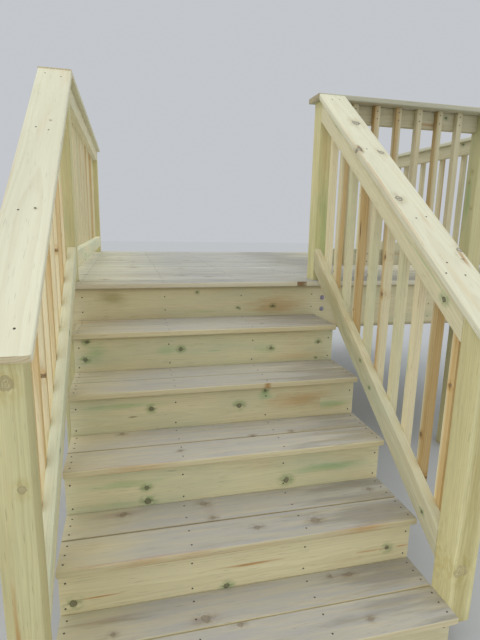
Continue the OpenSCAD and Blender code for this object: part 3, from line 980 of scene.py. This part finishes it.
def cap_screws(mesh, guard, boards):
    """Screws down through a cap into its rail and posts."""
    chance = random.Random(f"{guard} cap screws")
    for cap in boards[f"{guard}_cap"]:
        places = [(along * MM, across * MM) for along, across in CAP_SCREWS.get(guard, ())]
        count = max(2, round(cap.length / CAP_PITCH))
        for i in range(count + 1):
            middle_along = CAP_END + (cap.length - 2 * CAP_END) * i / count
            if all(abs(middle_along - along) > CAP_CLEAR for along, across in places):
                for aside in CAP_PAIR:
                    along = middle_along + scatter(chance, CAP_STRAY)
                    places.append((along, aside + scatter(chance)))
        for along, across in places:
            screw(mesh, *cap.at(along, across, Z))


# How far the bolts of the posts lie below the top of the deck, how far the newels' lie beside
# the newel's middle and above the ground, and half the thickness of a joist
BOLT_DROPS = (0.093, 0.155)
NEWEL_BOLTS = (-0.020, 0.020)
NEWEL_BOLT_Z = 0.131
JOIST_HALF = 0.019


def bolts(boards):
    """Carriage bolts that hold the posts to the rim, the end joists and the outer stringers."""
    mesh = bmesh.new()
    joists = boards["joists"]
    for name in ("post_stair_left", "post_stair_right", "post_middle", "post_corner"):
        low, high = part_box(name)
        x = (low.x + high.x) / 2
        for drop in BOLT_DROPS:
            bolt(mesh, Vector((x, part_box("rim_front")[0].y, DECK_Z - drop)), -Y)
            nut(mesh, Vector((x, high.y, DECK_Z - drop)), Y)
    for name, joist, out in (("post_wall_left", joists[0], -X), ("post_wall_right", joists[-1], X)):
        low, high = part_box(name)
        joist_face = joist.centre.x + out.x * JOIST_HALF
        post_face = high.x if out.x < 0 else low.x
        for drop in BOLT_DROPS:
            bolt(mesh, Vector((joist_face, (low.y + high.y) / 2, DECK_Z - drop)), out)
            nut(mesh, Vector((post_face, (low.y + high.y) / 2, DECK_Z - drop)), -out)
    for name, stringer, out in (("newel_left", "stringer_left", -X), ("newel_right", "stringer_right", X)):
        low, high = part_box(name)
        stringer_low, stringer_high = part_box(stringer)
        for aside in NEWEL_BOLTS:
            y = (low.y + high.y) / 2 + aside
            bolt(mesh, Vector((low.x if out.x < 0 else high.x, y, NEWEL_BOLT_Z)), out)
            nut(mesh, Vector((stringer_high.x if out.x < 0 else stringer_low.x, y, NEWEL_BOLT_Z)), -out)
    piece_of("carriage_bolts", mesh, BOLT_STEEL)


# Where screws lie across their boards, in metres from the middle: on a tread over the outer and
# the inner stringers, on a riser, on the front rim and on the boards of the deck
OUTER_ROWS, INNER_ROWS = (-0.042, 0.0, 0.042), (-0.036, 0.036)
RISER_ROWS, RIM_ROWS, DECK_ROWS = (-0.045, 0.045), (-0.07, 0.0, 0.07), (-0.040, 0.040)


def fasten(boards):
    """All screws and bolts."""
    stringers = [board for node in STRINGERS for board in boards[node]]
    stringers.sort(key=lambda board: board.centre.x)
    outer, inner = (stringers[0], stringers[-1]), stringers[1:-1]
    posts = [board for node in boards if node.startswith("post") for board in boards[node]]
    flight, deck, guards = bmesh.new(), bmesh.new(), bmesh.new()
    for node in TREADS:
        crossing_screws(flight, boards[node], outer, OUTER_ROWS, Z)
        crossing_screws(flight, boards[node], inner, INNER_ROWS, Z)
    for node in RISERS:
        crossing_screws(flight, boards[node], stringers, RISER_ROWS, -Y)
    piece_of("flight_screws", flight, SCREW_STEEL)
    crossing_screws(deck, boards["rim_front"], boards["joists"], RIM_ROWS, -Y)
    for node in DECKING:
        crossing_screws(deck, boards[node], boards["joists"], DECK_ROWS, Z, posts)
    piece_of("deck_screws", deck, SCREW_STEEL)
    for guard in GUARDS:
        baluster_screws(guards, guard, boards)
        cap_screws(guards, guard, boards)
    piece_of("guard_screws", guards, SCREW_STEEL)
    bolts(boards)


def background_share(t):
    """1 for rays that show the plain background: the camera's, and those by way of metal or glass."""
    path = t.add("LightPath")
    share = path.outputs["Is Camera Ray"]
    for kind in ("Is Glossy Ray", "Is Transmission Ray"):
        share = t.math("MAXIMUM", share, path.outputs[kind])
    return share


def stage():
    """A pale floor and the soft light of an open sky."""
    bpy.ops.mesh.primitive_plane_add(size=FLOOR_SIZE, location=(0, 0, 0))
    floor = bpy.context.object
    floor.name = "floor"
    material = bpy.data.materials.new("floor_paint")
    material.use_nodes = True
    t = Tree(material)
    shader = t.nodes["Principled BSDF"]
    t.set(shader.inputs["Base Color"], t.mix(background_share(t), FLOOR_LIT, FLOOR_SEEN))
    shader.inputs["Roughness"].default_value = FLOOR_ROUGHNESS
    floor.data.materials.append(material)

    world = bpy.data.worlds.new("sky")
    bpy.context.scene.world = world
    world.use_nodes = True
    t = Tree(world)
    sky = t.nodes["Background"]
    sky.inputs["Color"].default_value = SKY_COLOUR
    sky.inputs["Strength"].default_value = SKY_STRENGTH
    plain = t.add("Background")
    plain.inputs["Color"].default_value = BACKGROUND
    mix = t.add("MixShader")
    for socket, value in zip(mix.inputs, (background_share(t), sky.outputs[0], plain.outputs[0])):
        t.set(socket, value)
    t.set(t.nodes["World Output"].inputs["Surface"], mix.outputs[0])

    sun = bpy.data.objects.new("sun", bpy.data.lights.new("sun", "SUN"))
    sun.data.energy = SUN_STRENGTH
    sun.data.angle = SUN_WIDTH
    sun.data.color = SUN_COLOUR
    sun.rotation_mode = "QUATERNION"
    sun.rotation_quaternion = Vector(TO_SUN).to_track_quat("Z", "Y")
    bpy.context.scene.collection.objects.link(sun)


def camera():
    """The photograph's camera: its place, heading, pitch, roll and focal length."""
    data = bpy.data.cameras.new("camera")
    data.sensor_width = SENSOR
    data.lens = FOCAL_PIXELS * SENSOR / PHOTO_HEIGHT
    data.clip_start, data.clip_end = CLIP_START, CLIP_END
    seen = bpy.data.objects.new("camera", data)
    bpy.context.scene.collection.objects.link(seen)
    ahead = Vector((
        math.sin(CAMERA_YAW) * math.cos(CAMERA_PITCH),
        math.cos(CAMERA_YAW) * math.cos(CAMERA_PITCH),
        -math.sin(CAMERA_PITCH),
    ))
    right = Vector((math.cos(CAMERA_YAW), -math.sin(CAMERA_YAW), 0))
    down = ahead.cross(right)
    rolled_right = right * math.cos(CAMERA_ROLL) + down * math.sin(CAMERA_ROLL)
    rolled_down = down * math.cos(CAMERA_ROLL) - right * math.sin(CAMERA_ROLL)
    facing = Matrix((rolled_right, -rolled_down, -ahead)).transposed()
    seen.matrix_world = Matrix.Translation(CAMERA_PLACE) @ facing.to_4x4()
    bpy.context.scene.camera = seen


camera()
stage()
fasten({node: timber(node) for node in sorted(frame["nodes"])})

bpy.context.scene.view_settings.view_transform = "Standard"
